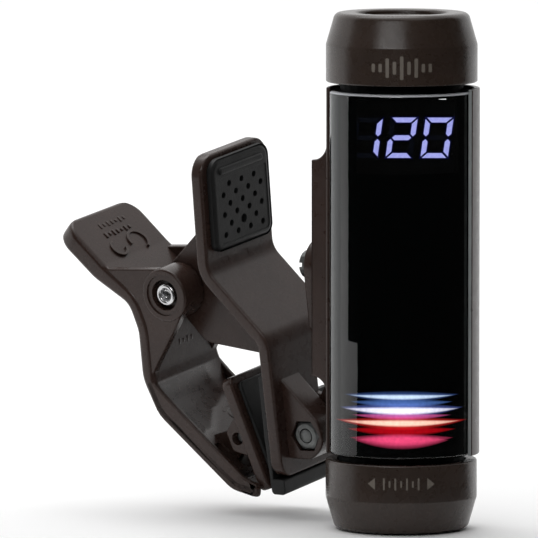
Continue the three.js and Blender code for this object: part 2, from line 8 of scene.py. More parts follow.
import json
import math

import bmesh
import bpy
from mathutils import Matrix, Vector


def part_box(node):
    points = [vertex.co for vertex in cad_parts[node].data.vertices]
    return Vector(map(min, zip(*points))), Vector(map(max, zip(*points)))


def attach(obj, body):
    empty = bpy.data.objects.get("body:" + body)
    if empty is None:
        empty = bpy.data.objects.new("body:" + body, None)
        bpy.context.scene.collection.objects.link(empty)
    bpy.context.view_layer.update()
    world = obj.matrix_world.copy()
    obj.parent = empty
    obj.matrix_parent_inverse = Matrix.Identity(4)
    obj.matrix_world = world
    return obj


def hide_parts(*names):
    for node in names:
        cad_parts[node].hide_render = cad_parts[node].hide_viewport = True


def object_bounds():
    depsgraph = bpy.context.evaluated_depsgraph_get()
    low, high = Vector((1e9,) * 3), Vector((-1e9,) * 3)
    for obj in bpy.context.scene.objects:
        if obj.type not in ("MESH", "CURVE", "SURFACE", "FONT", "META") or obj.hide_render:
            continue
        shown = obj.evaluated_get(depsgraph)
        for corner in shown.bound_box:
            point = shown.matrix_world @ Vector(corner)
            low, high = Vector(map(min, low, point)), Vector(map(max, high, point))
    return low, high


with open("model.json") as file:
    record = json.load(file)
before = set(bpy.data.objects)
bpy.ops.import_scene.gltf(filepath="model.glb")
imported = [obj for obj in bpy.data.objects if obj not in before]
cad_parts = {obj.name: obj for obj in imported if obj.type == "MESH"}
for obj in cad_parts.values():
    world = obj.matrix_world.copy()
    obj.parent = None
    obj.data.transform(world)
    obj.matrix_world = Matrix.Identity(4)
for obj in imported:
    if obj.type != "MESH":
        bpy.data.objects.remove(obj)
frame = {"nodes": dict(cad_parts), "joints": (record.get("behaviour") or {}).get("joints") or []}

CAD_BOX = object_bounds()
MM = 0.001

# ---- frames, from the joints
JOINTS = {joint["name"]: joint for joint in frame["joints"]}
OUT = Vector(JOINTS["body_swivel"]["axis"])
ACROSS = Vector(JOINTS["clip_open"]["axis"])
CENTRE = Vector(JOINTS["upper_ring_turn"]["pos_m"])
SKY = Vector((0, 0, 1))


def frame_of(x_axis, y_axis, z_axis):
    """Millimetres along three directions from the middle of the tube, to metres in the row frame."""
    turn = Matrix((x_axis, y_axis, z_axis)).transposed().to_4x4()
    return Matrix.Translation(CENTRE) @ turn @ Matrix.Scale(MM, 4)


BODY = frame_of(Vector((1, 0, 0)), Vector((0, 1, 0)), SKY)
DOCK = frame_of(OUT, SKY, OUT.cross(SKY))
CLIP = frame_of(OUT, ACROSS.cross(OUT), ACROSS)


def clip_place(joint):
    """Where a joint's axis stands in the clip's frame: distance out and height."""
    point = CLIP.inverted() @ Vector(JOINTS[joint]["pos_m"])
    return Vector((point.x, point.y))


PIVOT = clip_place("clip_open")
HINGE = clip_place("arm_tilt")
SHOE_PIN = clip_place("shoe_tilt")

# ---- sizes shared by several pieces, mm
HOUSING_R = 10.85
HOUSING_ASIDE = 0.2  # the back shell's outer face is centred this far to the right
HOUSING_BORE_R = 10
HOUSING_HALF = 25.9
HOUSING_SPAN = (-14, 184)
WINDOW_R = 10.3
WINDOW_BORE_R = 9.2
WINDOW_SPAN = (187, 343)
WINDOW_TOP = 25.5
DISPLAY_R = 8.9
RING_R = 10.7
RING_BASE = 26.7
RING_CREASE = 32
RING_END = 36.5
DOOR_FROM = 50
DOOR_TO = 112
DOOR_HALF = 23.4
CLIP_HALF = 8
LEVER_TOP = 16.7
PLATE_BOTTOM = -29.9
SHOE_LEAN = math.radians(18.3)
SHOE_BACK = -0.75
SHOE_FRONT = -2.65
SHOE_TOP = 8.6
SHOE_BOTTOM = -8.3
SHOE_HALF = 6.9


# ---- outlines
def rounded(corners, step=12):
    """An outline from corners (x, y) or (x, y, radius); each radius becomes an arc of short steps."""
    points = []
    for i, (x, y, *radius) in enumerate(corners):
        corner = Vector((x, y))
        if not radius:
            points.append(corner)
            continue
        before = (Vector(corners[i - 1][:2]) - corner).normalized()
        after = (Vector(corners[(i + 1) % len(corners)][:2]) - corner).normalized()
        half = before.angle(after) / 2
        centre = corner + (before + after).normalized() * (radius[0] / math.sin(half))
        first = corner + before * (radius[0] / math.tan(half)) - centre
        last = corner + after * (radius[0] / math.tan(half)) - centre
        start = math.atan2(first.y, first.x)
        sweep = (math.atan2(last.y, last.x) - start + math.pi) % math.tau - math.pi
        count = max(2, math.ceil(abs(sweep) / math.radians(step)))
        points += [centre + polar(radius[0], start + sweep * k / count) for k in range(count + 1)]
    return points


def polar(radius, angle):
    return Vector((radius * math.cos(angle), radius * math.sin(angle)))


def arc(radius, start, end, step=3):
    """Points of an arc about the origin, angles in degrees."""
    count = max(1, math.ceil(abs(end - start) / step))
    return [polar(radius, math.radians(start + (end - start) * k / count)) for k in range(count + 1)]


def rectangle(low, high, radius, top_radius=None, step=12):
    """Outline between two corners; the upper corners may be rounded by a radius of their own."""
    top = radius if top_radius is None else top_radius
    (x0, y0), (x1, y1) = low, high
    return rounded([(x0, y0, radius), (x1, y0, radius), (x1, y1, top), (x0, y1, top)], step)


def circle(centre, radius, sides=48):
    return [Vector(centre) + polar(radius, math.tau * k / sides) for k in range(sides)]


def sector(inner, outer, start, end, corner=0.2, aside=0.0, brow=None):
    """Outline of a piece of tube wall, angles in degrees; its outer face may stand aside to the right.
    brow is the radius of the outer corner at the start, where it differs from the others."""
    corners = []
    for side in ([p + Vector((aside, 0)) for p in arc(outer, start, end, 6)], arc(inner, end, start, 6)):
        for i, point in enumerate(side):
            radius = [brow] if brow and not corners else [corner]
            corners.append((*point, *radius) if i in (0, len(side) - 1) else (*point,))
    return rounded(corners, 20)


def anticlockwise(points):
    area = sum(points[i - 1].cross(points[i]) for i in range(len(points)))
    return points if area > 0 else points[::-1]


def inset(points, distance):
    """An anticlockwise outline drawn in by a distance."""
    drawn_in = []
    for i, point in enumerate(points):
        first = (point - points[i - 1]).orthogonal().normalized()
        second = (points[(i + 1) % len(points)] - point).orthogonal().normalized()
        drawn_in.append(point + (first + second) * (distance / (1 + first.dot(second))))
    return drawn_in


# ---- meshes
def mesh_from(vertices, faces):
    mesh = bpy.data.meshes.new("shape")
    mesh.from_pydata([tuple(v) for v in vertices], [], faces)
    tidy = bmesh.new()
    tidy.from_mesh(mesh)
    bmesh.ops.remove_doubles(tidy, verts=tidy.verts, dist=1e-4)
    bmesh.ops.recalc_face_normals(tidy, faces=tidy.faces)
    tidy.to_mesh(mesh)
    tidy.free()
    return mesh


def skin(rings, closed=False):
    """A surface through rings of points, with flat ends, or closed on itself."""
    count = len(rings[0])
    total = len(rings)
    faces = []
    for r in range(total if closed else total - 1):
        here, there = r * count, (r + 1) % total * count
        for i in range(count):
            j = (i + 1) % count
            faces.append((here + i, here + j, there + j, there + i))
    if not closed:
        faces += [tuple(range(count))[::-1], tuple(range((total - 1) * count, total * count))]
    return mesh_from([point for ring in rings for point in ring], faces)


def prism(points, low, high, edge=0.25, steps=3, levels=()):
    """An outline in X and Y drawn out along Z, with rounded rims and edge loops at the levels."""
    points = anticlockwise([Vector(p) for p in points])
    if edge == 0:
        return skin([[(*p, z) for p in points] for z in (low, high)])
    rims = []
    for k in range(steps + 1):
        turn = math.pi / 2 * k / steps
        rims.append((inset(points, edge * (1 - math.sin(turn))), edge * (1 - math.cos(turn))))
    rings = [[(*p, low + rise) for p in ring] for ring, rise in rims]
    rings += [[(*p, level) for p in points] for level in levels]
    rings += [[(*p, high - rise) for p in ring] for ring, rise in reversed(rims)]
    return skin(rings)


def slab(points, low, high, edge=0.25, steps=3):
    """An outline given as (across, up), drawn out along X."""
    mesh = prism(points, low, high, edge, steps)
    mesh.transform(Matrix(((0, 0, 1, 0), (0, 1, 0, 0), (1, 0, 0, 0), (0, 0, 0, 1))))
    mesh.flip_normals()
    return mesh


def rod(centre, radius, low, high, edge=0.15, sides=48):
    return prism(circle(centre, radius, sides), low, high, edge)


def turned(profile, sides=128):
    """A profile of (radius, height) turned about Z; it starts and ends on the axis or closes on itself."""
    rings = []
    for k in range(sides):
        angle = math.tau * k / sides
        rings.append([(r * math.cos(angle), r * math.sin(angle), z) for r, z in profile])
    return skin(rings, closed=True)


def edge_loss(distance, radius):
    """How far a rounded end of this radius has drawn in, at a distance from the end."""
    if distance >= radius:
        return 0
    return radius - math.sqrt(radius**2 - (radius - distance) ** 2)


def between(table, place):
    """The value at a place, on straight lines between the (place, value) pairs of a table."""
    for (start, first), (end, last) in zip(table, table[1:]):
        if place <= end:
            return first + (last - first) * max(0, place - start) / (end - start)
    return table[-1][1]


def strip(corners, thickness, half, corner_radii, edge=0.4):
    """A bent sheet along a line: rounded corners at both ends, rounded edges all round.
    thickness lists (share of the length, value)."""
    line = rounded(corners, 7)
    lengths = [0]
    for first, second in zip(line, line[1:]):
        lengths.append(lengths[-1] + (second - first).length)
    total = lengths[-1]
    ends = []
    for k in range(10):
        turn = math.pi / 2 * k / 9
        for radius in (edge, corner_radii[0]):
            ends.append(radius * (1 - math.cos(turn)))
        for radius in (edge, corner_radii[1]):
            ends.append(total - radius * (1 - math.cos(turn)))
    stations = sorted(set(round(s, 3) for s in [*lengths, *ends, total]))
    tangents = []
    for i in range(len(line)):
        tangents.append((line[min(i + 1, len(line) - 1)] - line[max(i - 1, 0)]).normalized())
    rings = []
    for s in stations:
        i = max(k for k in range(len(line) - 1) if lengths[k] <= s + 1e-6)
        share = min(1, (s - lengths[i]) / (lengths[i + 1] - lengths[i]))
        point = line[i].lerp(line[i + 1], share)
        tangent = tangents[i].lerp(tangents[i + 1], share).normalized()
        normal = Vector((-tangent.y, tangent.x))
        loss = edge_loss(s, edge) + edge_loss(total - s, edge)
        depth = between(thickness, s / total) / 2 - loss
        width = half - edge_loss(s, corner_radii[0]) - edge_loss(total - s, corner_radii[1])
        bend = min(edge, depth * 0.95)
        ring = []
        for turn in range(0, 360, 90):
            for k in range(4):
                angle = math.radians(turn + 30 * k)
                quarter = math.radians(turn + 45)
                x = math.copysign(depth - bend, math.cos(quarter)) + bend * math.cos(angle)
                w = math.copysign(width - bend, math.sin(quarter)) + bend * math.sin(angle)
                ring.append((point.x + normal.x * x, point.y + normal.y * x, w))
        rings.append(ring)
    return skin(rings)


def wire(points, radius):
    """A round wire along points in space."""
    sides = 12
    points = [Vector(p) for p in points]
    rings = []
    side = None
    for i, point in enumerate(points):
        along = (points[min(i + 1, len(points) - 1)] - points[max(i - 1, 0)]).normalized()
        side = along.orthogonal() if side is None else side - along * side.dot(along)
        side.normalize()
        other = along.cross(side)
        rings.append([point + side * p.x + other * p.y for p in circle((0, 0), radius, sides)])
    return skin(rings)


def helix(radii, heights, turns, start=0):
    """Points of a coil about Z, from one radius and height to the other."""
    per_turn = 28
    count = round(turns * per_turn)
    points = []
    for k in range(count + 1):
        share = k / count
        flat = polar(radii[0] + (radii[1] - radii[0]) * share, start + math.tau * turns * share)
        points.append((*flat, heights[0] + (heights[1] - heights[0]) * share))
    return points


def shape_object(name, mesh):
    obj = bpy.data.objects.new(name, mesh)
    bpy.context.scene.collection.objects.link(obj)
    return obj


def joined(base, additions=(), cuts=()):
    """One mesh: the base with meshes added to it and then cut from it."""
    holder = shape_object("holder", base)
    tools = []
    for operation, meshes in (("UNION", additions), ("DIFFERENCE", cuts)):
        for mesh in meshes:
            tool = shape_object("tool", mesh)
            tools.append(tool)
            modifier = holder.modifiers.new(operation, "BOOLEAN")
            modifier.operation = operation
            modifier.solver = "EXACT"
            modifier.object = tool
    bpy.context.view_layer.update()
    result = bpy.data.meshes.new_from_object(holder.evaluated_get(bpy.context.evaluated_depsgraph_get()))
    for obj in [holder, *tools]:
        bpy.data.objects.remove(obj)
    return result


def pair(outline, inner, outer, edge):
    """The same prism on both sides of the middle."""
    return [prism(outline, low, high, edge) for low, high in ((-outer, -inner), (inner, outer))]


def gathered(meshes):
    """Separate closed shapes kept in one mesh."""
    whole = bmesh.new()
    for mesh in meshes:
        whole.from_mesh(mesh)
    result = bpy.data.meshes.new("shape")
    whole.to_mesh(result)
    whole.free()
    return result


def placed(mesh, matrix):
    mesh.transform(matrix)
    if matrix.determinant() < 0:
        mesh.flip_normals()
    return mesh


def moved(mesh, place):
    """A mesh drawn about the origin, moved to a place (x, y)."""
    return placed(mesh, Matrix.Translation((*place, 0)))


def mirrored(mesh, side):
    """The same shape at the tube's other end when side is -1."""
    return placed(mesh, Matrix.Diagonal((1, 1, side, 1)))


def piece(name, mesh, matrix, material, body, replaces=(), crease=40):
    """A finished piece: in place, smooth apart from its creases, and riding on its body."""
    placed(mesh, matrix)
    mesh.polygons.foreach_set("use_smooth", [True] * len(mesh.polygons))
    mesh.set_sharp_from_angle(angle=math.radians(crease))
    mesh.materials.clear()
    mesh.materials.append(material)
    obj = shape_object(name, mesh)
    normals = obj.modifiers.new("normals", "WEIGHTED_NORMAL")
    normals.keep_sharp = True
    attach(obj, body)
    if replaces:
        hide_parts(*replaces)
    return obj


# ---- materials
def new_material(name):
    material = bpy.data.materials.new(name)
    material.use_nodes = True
    tree = material.node_tree
    place = tree.nodes.new("ShaderNodeTexCoord").outputs["Object"]
    return material, tree, tree.nodes["Principled BSDF"], place


def noise(tree, place, size, detail=2):
    """Cloudy values from 0 to 1, with clouds of this size in millimetres."""
    node = tree.nodes.new("ShaderNodeTexNoise")
    node.inputs["Scale"].default_value = 1 / (size * MM)
    node.inputs["Detail"].default_value = detail
    tree.links.new(place, node.inputs["Vector"])
    return node.outputs["Fac"]


def spread(tree, value, low, high, start=0.3, end=0.7):
    """The value's range from start to end, drawn out to low to high."""
    node = tree.nodes.new("ShaderNodeMapRange")
    for name, limit in (("From Min", start), ("From Max", end), ("To Min", low), ("To Max", high)):
        node.inputs[name].default_value = limit
    tree.links.new(value, node.inputs["Value"])
    return node.outputs["Result"]


def blend_colours(tree, share, first, second):
    node = tree.nodes.new("ShaderNodeMix")
    node.data_type = "RGBA"
    for socket in node.inputs:
        if socket.type == "RGBA" and socket.name in "AB":
            socket.default_value = (*(first if socket.name == "A" else second), 1)
    tree.links.new(share, node.inputs["Factor"])
    return next(socket for socket in node.outputs if socket.type == "RGBA")


def bump(tree, shader, height, depth):
    """Relief of this depth in millimetres."""
    node = tree.nodes.new("ShaderNodeBump")
    node.inputs["Distance"].default_value = depth * MM
    tree.links.new(height, node.inputs["Height"])
    tree.links.new(node.outputs["Normal"], shader.inputs["Normal"])


def moulded(name, colour, roughness, grain=0.16, depth=0.02, variation=0.12, specular=0.5):
    """Moulded plastic or rubber: fine spark-eroded grain, faint clouding in colour and gloss."""
    material, tree, shader, place = new_material(name)
    darker = [c * (1 - variation) for c in colour]
    lighter = [c * (1 + variation) for c in colour]
    clouds = spread(tree, noise(tree, place, 5, 4), 0, 1)
    tree.links.new(blend_colours(tree, clouds, darker, lighter), shader.inputs["Base Color"])
    gloss = spread(tree, noise(tree, place, 1.3, 4), roughness - 0.04, roughness + 0.04)
    tree.links.new(gloss, shader.inputs["Roughness"])
    shader.inputs["Specular IOR Level"].default_value = specular
    bump(tree, shader, noise(tree, place, grain, 3), depth)
    return material


def metal(name, colour, roughness, wear=0.5):
    """Turned metal: fine drawn lines and patches that are duller."""
    material, tree, shader, place = new_material(name)
    shader.inputs["Metallic"].default_value = 1
    dull = [c * wear for c in colour]
    patches = spread(tree, noise(tree, place, 0.9, 5), 0, 1, 0.4, 0.75)
    tree.links.new(blend_colours(tree, patches, colour, dull), shader.inputs["Base Color"])
    gloss = spread(tree, noise(tree, place, 0.35, 3), roughness - 0.08, roughness + 0.12)
    tree.links.new(gloss, shader.inputs["Roughness"])
    bump(tree, shader, noise(tree, place, 0.12, 2), 0.006)
    return material


def window_plastic():
    """Clear smoked plastic, polished, with the faintest unevenness of a moulding."""
    material, tree, shader, place = new_material("smoked_window")
    shader.inputs["Transmission Weight"].default_value = 1
    shader.inputs["IOR"].default_value = 1.49
    smoke = spread(tree, noise(tree, place, 9, 2), 0, 1)
    tint = blend_colours(tree, smoke, (0.88, 0.91, 0.92), (0.92, 0.94, 0.95))
    tree.links.new(tint, shader.inputs["Base Color"])
    tree.links.new(spread(tree, noise(tree, place, 4, 2), 0, 0.02), shader.inputs["Roughness"])
    bump(tree, shader, noise(tree, place, 7, 1), 0.01)
    return material


def height_and_side(tree, place):
    """How far up and to the right of the tube's middle a point lies, in metres."""
    parts = tree.nodes.new("ShaderNodeSeparateXYZ")
    tree.links.new(place, parts.inputs[0])
    height = arithmetic(tree, "SUBTRACT", parts.outputs["Z"], CENTRE.z)
    return height, arithmetic(tree, "SUBTRACT", parts.outputs["X"], CENTRE.x)


def arithmetic(tree, operation, first, second, clamp=False):
    """A math node; each input is a socket or a number."""
    node = tree.nodes.new("ShaderNodeMath")
    node.operation = operation
    node.use_clamp = clamp
    for socket, value in zip(node.inputs, (first, second)):
        if isinstance(value, (int, float)):
            socket.default_value = value
        else:
            tree.links.new(value, socket)
    return node.outputs["Value"]


# Light lines: height, half height, half length, softness, colour
LIGHT_LINES = (
    (-17.0, 0.85, 7.7, 1.1, (0.05, 0.1, 0.3)),
    (-17.05, 0.42, 7.0, 1.5, (0.6, 0.72, 0.8)),
    (-17.95, 0.7, 6.9, 1.3, (0.06, 0.13, 0.37)),
    (-18.9, 1.15, 8.2, 1.1, (0.1, 0.14, 0.45)),
    (-19.0, 0.62, 7.7, 1.7, (0.95, 0.9, 0.85)),
    (-19.8, 0.55, 6.7, 1.4, (0.55, 0.08, 0.26)),
    (-20.75, 1.0, 8.7, 1.2, (0.65, 0.02, 0.02)),
    (-20.75, 0.55, 7.8, 1.6, (0.6, 0.72, 0.55)),
    (-21.85, 0.8, 7.3, 1.5, (0.4, 0.001, 0.006)),
    (-23.05, 0.9, 7.0, 1.6, (0.45, 0.035, 0.1)),
    (-23.35, 1.1, 6.4, 1.8, (0.45, 0.035, 0.1)),
)


def light_lines():
    """Black diffuser with lines of light that taper and fade to their ends."""
    material, tree, shader, place = new_material("light_lines")
    shader.inputs["Base Color"].default_value = (0.0015, 0.0025, 0.0025, 1)
    shader.inputs["Specular IOR Level"].default_value = 0
    tree.links.new(spread(tree, noise(tree, place, 1.5), 0.3, 0.45), shader.inputs["Roughness"])
    height, aside = height_and_side(tree, place)
    ripple = spread(tree, noise(tree, place, 0.5, 2), 0.9, 1.1)
    total = None
    for middle, half_height, half_length, softness, colour in LIGHT_LINES:
        along = arithmetic(tree, "DIVIDE", aside, half_length * MM)
        fade = arithmetic(tree, "SUBTRACT", 1, arithmetic(tree, "MULTIPLY", along, along), clamp=True)
        offset = arithmetic(tree, "ABSOLUTE", arithmetic(tree, "SUBTRACT", height, middle * MM), 0)
        room = arithmetic(tree, "MAXIMUM", arithmetic(tree, "MULTIPLY", fade, half_height * MM), 1e-6)
        inside = arithmetic(tree, "SUBTRACT", 1, arithmetic(tree, "DIVIDE", offset, room), clamp=True)
        share = arithmetic(tree, "MULTIPLY", inside, softness, clamp=True)
        share = arithmetic(tree, "MULTIPLY", share, arithmetic(tree, "POWER", fade, 0.6))
        lit = tree.nodes.new("ShaderNodeVectorMath")
        lit.operation = "SCALE"
        lit.inputs[0].default_value = colour
        tree.links.new(arithmetic(tree, "MULTIPLY", share, ripple), lit.inputs["Scale"])
        if total is None:
            total = lit.outputs[0]
            continue
        mixed = tree.nodes.new("ShaderNodeVectorMath")
        mixed.operation = "ADD"
        tree.links.new(total, mixed.inputs[0])
        tree.links.new(lit.outputs[0], mixed.inputs[1])
        total = mixed.outputs[0]
    tree.links.new(total, shader.inputs["Emission Color"])
    shader.inputs["Emission Strength"].default_value = 1.15
    return material


def glowing(name, centre_colour, edge_colour, strength):
    """A lit figure bar, a little uneven along its length."""
    material, tree, shader, place = new_material(name)
    shader.inputs["Base Color"].default_value = (0.002, 0.002, 0.003, 1)
    shader.inputs["Specular IOR Level"].default_value = 0
    uneven = spread(tree, noise(tree, place, 0.45, 2), 0, 1)
    tree.links.new(blend_colours(tree, uneven, centre_colour, edge_colour), shader.inputs["Emission Color"])
    shader.inputs["Emission Strength"].default_value = strength
    return material


def board_lacquer():
    """Green circuit board lacquer over copper tracks."""
    material, tree, shader, place = new_material("board_lacquer")
    tracks = tree.nodes.new("ShaderNodeTexVoronoi")
    tracks.distance = "MANHATTAN"
    tracks.feature = "DISTANCE_TO_EDGE"
    tracks.inputs["Scale"].default_value = 1 / (1.6 * MM)
    tree.links.new(place, tracks.inputs["Vector"])
    track = spread(tree, tracks.outputs["Distance"], 0, 1, 0.03, 0.06)
    green = blend_colours(tree, track, (0.03, 0.16, 0.06), (0.008, 0.07, 0.03))
    tree.links.new(green, shader.inputs["Base Color"])
    tree.links.new(spread(tree, noise(tree, place, 2), 0.25, 0.4), shader.inputs["Roughness"])
    bump(tree, shader, track, 0.03)
    return material


def cell_jacket():
    """A battery cell's printed jacket: copper-coloured top band over dark grey, no lettering."""
    material, tree, shader, place = new_material("cell_jacket")
    shader.inputs["Metallic"].default_value = 0.8
    band = spread(tree, height_and_side(tree, place)[0], 0, 1, 10 * MM, 10.2 * MM)
    print_colour = blend_colours(tree, band, (0.05, 0.05, 0.055), (0.6, 0.3, 0.12))
    tree.links.new(print_colour, shader.inputs["Base Color"])
    tree.links.new(spread(tree, noise(tree, place, 1.2, 3), 0.25, 0.38), shader.inputs["Roughness"])
    bump(tree, shader, noise(tree, place, 3, 2), 0.02)
    return material


CLIP_BROWN = moulded("clip_brown", (0.034, 0.0195, 0.0155), 0.28, depth=0.007, specular=0.34)
CASE_BROWN = moulded("case_brown", (0.034, 0.0195, 0.0155), 0.3, depth=0.007, specular=0.42)
RING_BROWN = moulded("ring_brown", (0.032, 0.021, 0.016), 0.28, depth=0.008, specular=0.42)
INNER_BLACK = moulded("inner_black", (0.0018, 0.0022, 0.0022), 0.6, specular=0.05)
RUBBER = moulded("rubber", (0.0095, 0.0098, 0.0098), 0.5, grain=0.22, depth=0.04, specular=0.3)
PRINT = moulded("print_ink", (0.135, 0.115, 0.095), 0.5, grain=0.3)
WINDOW = window_plastic()
# painted highlight: light grey on the window's top edge stands in for the light that edge catches
WINDOW_TOP_HIGHLIGHT = moulded("window_top_painted_highlight", (0.55, 0.57, 0.6), 0.3, specular=0.8)
# painted highlight: grey on the end face of the shell's lip stands in for the light that face reflects
LIP_END_HIGHLIGHT = moulded("lip_end_painted_highlight", (0.26, 0.28, 0.28), 0.3, specular=0.8)
LIGHTS = light_lines()
FIGURE = glowing("figure_light", (0.29, 0.3, 0.68), (0.36, 0.37, 0.74), 1.3)
HALO = glowing("figure_halo", (0.002, 0.003, 0.035), (0.004, 0.005, 0.045), 1)
UNLIT = glowing("figure_unlit", (0.0012, 0.0016, 0.003), (0.002, 0.0026, 0.005), 1)
STEEL = metal("nickelled_steel", (0.72, 0.72, 0.73), 0.2, 0.75)
BLACK_STEEL = metal("black_steel", (0.17, 0.175, 0.172), 0.42)
BRASS = metal("brass", (0.62, 0.45, 0.18), 0.3, 0.7)
BOARD = board_lacquer()
JACKET = cell_jacket()


# ---- display body
def ring_mesh(side):
    profile = rounded([
        (9.2, RING_BASE, 0.1), (RING_R, RING_BASE, 0.25), (RING_R, RING_CREASE, 0.9), (9.4, RING_END, 1.0),
        (6.3, RING_END, 0.45), (6.3, 34.9, 0.1), (9.2, 34.9, 0.1),
    ], 10)
    return mirrored(turned(profile), side)


def plug_mesh(side):
    stem, foot, flange, lip, rim, dish = 2.5, 27.3, 33.9, 34.6, 35.9, 35.4
    profile = [(0, foot), *rounded([
        (stem, foot, 0.2), (stem, flange), (6.7, flange, 0.1), (6.7, lip, 0.1), (6.0, lip),
        (6.0, rim, 0.35), (5.0, rim, 0.35), (4.7, dish, 0.3), (0.5, dish),
    ], 15), (0, dish)]
    return mirrored(turned(profile, 96), side)


def on_cylinder(mesh, radius):
    """Wraps a mesh drawn as (along the arc, up, outwards) round the front of a cylinder about Z."""
    for vertex in mesh.vertices:
        x, z, rise = vertex.co
        angle = x / radius
        vertex.co = ((radius + rise) * math.sin(angle), -(radius + rise) * math.cos(angle), z)
    return mesh


def printed(outlines, radius):
    """Thin ink marks on the front of a cylinder."""
    return gathered([on_cylinder(prism(points, -0.03, 0.015, 0), radius) for points in outlines])


def bar(middle, width, low, high):
    """A bar with rounded corners, as an outline."""
    corner = min(width, high - low) * 0.3
    return rectangle((middle - width / 2, low), (middle + width / 2, high), corner, step=30)


def top_marks():
    """A plain row of bars, tall in the middle, where the real ring is printed."""
    middle, gap, tall, short = 29.3, 1.02, 1.65, 0.95
    outlines = []
    for place in range(-4, 5):
        half = (short if place % 2 else tall) * math.cos(place * 0.3)
        outlines.append(bar(place * gap, 0.5, middle - half, middle + half))
    return printed(outlines, RING_R)


def bottom_marks():
    """Two arrowheads round a row of ticks: turn to change the tempo."""
    middle, gap, tall, short, arrow_foot, arrow_tip = -29.25, 0.82, 0.85, 0.4675, 3.75, 4.85
    outlines = []
    for place in range(-3, 4):
        half = tall if place % 2 else short
        outlines.append(bar(place * gap, 0.26, middle - half, middle + half))
    for side in (-1, 1):
        foot = side * arrow_foot
        outlines.append([(foot, middle - tall), (side * arrow_tip, middle), (foot, middle + tall)])
    return printed(outlines, RING_R)


LIP_SPAN = (-26, -8)


def housing_mesh():
    outline = sector(HOUSING_BORE_R, HOUSING_R, *HOUSING_SPAN, 0.2, HOUSING_ASIDE, 0.75)
    shell = prism(outline, -HOUSING_HALF, HOUSING_HALF, 0.2)
    over_window = sector(WINDOW_R + 0.1, HOUSING_R, *LIP_SPAN, 0.12, HOUSING_ASIDE)
    lip = prism(over_window, -HOUSING_HALF, HOUSING_HALF, 0.2)
    face, end, foot, fillet = 12.25, 15.4, 9.6, 2.45
    side = [(6, -end - 4), (foot, -end - 4), (foot, -end, fillet), (face, -end, 0.18), (face, end, 0.18),
            (foot, end, fillet), (foot, end + 4), (6, end + 4)]
    dock = placed(prism(rounded(side, 6), -5, 5, 0.3), BODY.inverted() @ DOCK)
    hollow = rod((0, 0), HOUSING_BORE_R, -HOUSING_HALF - 1, HOUSING_HALF + 1, 0, 120)
    dock = joined(dock, cuts=[hollow])
    bay_height = DOOR_HALF + 0.3
    bay = prism(sector(9, 12.5, DOOR_FROM - 1.5, DOOR_TO + 1.5, 0.01), -bay_height, bay_height, 0)
    hole = placed(slab(circle((0, 0), 1.2, 32), 8, 13, 0), BODY.inverted() @ DOCK)
    return joined(shell, [lip, dock], [bay, hole])


def door_mesh():
    wall = sector(HOUSING_BORE_R, HOUSING_R, DOOR_FROM, DOOR_TO, 0.2, HOUSING_ASIDE)
    leaf = prism(wall, -DOOR_HALF, DOOR_HALF, 0.2)
    middle = math.radians((DOOR_FROM + DOOR_TO) / 2)
    notch_half, notch_height = 5, DOOR_HALF - 7
    notch_foot, notch_end = notch_height - notch_half, notch_height + notch_half
    notch = rod(polar(HOUSING_R + 0.1, middle), 0.7, notch_foot, notch_end, 0.3, 24)
    start, end, groove_depth, groove_pitch = 66, 96, 0.22, 1.5
    outline = arc(HOUSING_R - groove_depth, start, end) + arc(HOUSING_R + 0.5, end, start)
    grooves = []
    for k in range(5):
        height = -DOOR_HALF + 4 + groove_pitch * k
        grooves.append(prism(outline, height - 0.3, height + 0.3, 0))
    return joined(leaf, cuts=[notch, *grooves])


CLEAR_LOW = 14.3
CLEAR_HIGH = 24.8
CLEAR_LEFT = -42
CLEAR_RIGHT = 54
WINDOW_EDGE = 0.44


def window_mesh():
    outline = sector(WINDOW_BORE_R, WINDOW_R, *WINDOW_SPAN, 0.3)
    return prism(outline, -HOUSING_HALF, WINDOW_TOP, WINDOW_EDGE, 5, (CLEAR_LOW, CLEAR_HIGH))


def blacken_window(obj):
    """Black film on the window's inner face, apart from a clear pane before the figures; the top
    edge carries a painted highlight in light grey."""
    obj.data.materials.append(LIGHTS)
    obj.data.materials.append(WINDOW_TOP_HIGHLIGHT)
    place = BODY.inverted()
    for face in obj.data.polygons:
        centre = place @ face.center
        inner = centre.xy.length < WINDOW_BORE_R + 0.15
        aside = math.degrees(math.atan2(centre.x, -centre.y))
        clear = CLEAR_LOW < centre.z < CLEAR_HIGH and CLEAR_LEFT < aside < CLEAR_RIGHT
        # faces of the top edge take the painted highlight
        top_highlight = centre.z > WINDOW_TOP - WINDOW_EDGE and face.normal.z > 0.35
        face.material_index = 2 if top_highlight else int(inner and not clear)


def paint_lip_highlight(obj):
    """The shell's lip over the window's right edge has a painted highlight: its end face is painted grey
    where it catches the light.
    """
    obj.data.materials.append(LIP_END_HIGHLIGHT)
    place = BODY.inverted()
    for face in obj.data.polygons:
        centre = place @ face.center
        angle = math.degrees(math.atan2(centre.y, centre.x))
        at_start = abs(angle - LIP_SPAN[0]) < 1.5 and centre.xy.length < HOUSING_R - 0.1
        # the lip's end face takes the painted highlight
        if at_start and face.normal.x < -0.2:
            face.material_index = 1


BLOCK_BACK = -2.8


def display_block(low, high):
    """A block behind the window, from the board to a round front."""
    reach = math.degrees(math.acos(-BLOCK_BACK / DISPLAY_R))
    return prism(arc(DISPLAY_R, -90 - reach, -90 + reach, 2), low, high, 0.15)


DIGIT_WIDTH = 3.7
DIGIT_HEIGHT = 5.68
DIGIT_PITCH = 4.8
DIGIT_FOOT = 16.3
DIGIT_SLANT = math.tan(math.radians(7.5))
SEGMENT = 0.68
SEGMENT_GAP = 0.2
PANEL_FRONT = -4.75
LIT = ("bc", "abged", "abcdef")  # the bars lit in the figures 1, 2 and 0


